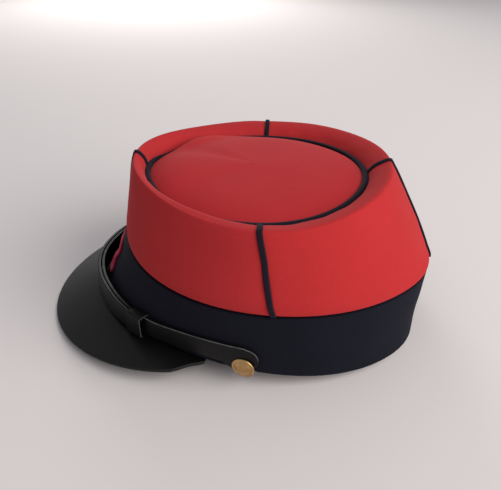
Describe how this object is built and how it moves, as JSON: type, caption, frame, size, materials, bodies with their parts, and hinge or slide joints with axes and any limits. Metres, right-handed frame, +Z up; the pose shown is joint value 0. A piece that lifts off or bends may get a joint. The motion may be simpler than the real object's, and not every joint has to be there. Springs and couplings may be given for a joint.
{
  "type": "kepi cap",
  "caption": "Stiff cloth cap with a sunken round top inside a rolled rim, a tall dark band, a drooping leather peak and a chin strap buttoned over the root of the peak.",
  "frame": {"origin": "on the surface that the cap rests on, under the middle of its overall length and width", "axes": "+Z up from that surface, +X to the wearer's left, +Y to the back of the cap, so the peak points along -Y"},
  "size_m": [0.1834, 0.2386, 0.1032],
  "materials": {
    "red_cloth": "fulled wool cloth, matt with a fine nap",
    "navy_cloth": "fulled wool cloth, matt with a fine nap",
    "navy_braid": "flat plaited wool braid, matt",
    "badge_cloth": "cut felt, matt",
    "peak_leather": "black, waxed to a soft sheen",
    "strap_leather": "black, satin, with paler cut edges",
    "brass": "plain domed face, lightly brushed"
  },
  "bodies": {
    "root": {"crown_panel_front_left": "red_cloth", "crown_panel_rear_left": "red_cloth", "crown_panel_rear_right": "red_cloth", "crown_panel_front_right": "red_cloth", "crown_disk": "red_cloth", "ring_braid": "navy_braid", "seam_braid_front": "navy_braid", "seam_braid_left": "navy_braid", "seam_braid_rear": "navy_braid", "seam_braid_right": "navy_braid", "band": "navy_cloth", "front_badge": "badge_cloth", "peak": "peak_leather", "chin_strap_left": "strap_leather", "chin_strap_right": "strap_leather", "strap_loop_left": "strap_leather", "strap_loop_right": "strap_leather", "button_left": "brass", "button_right": "brass"}
  },
  "joints": []
}
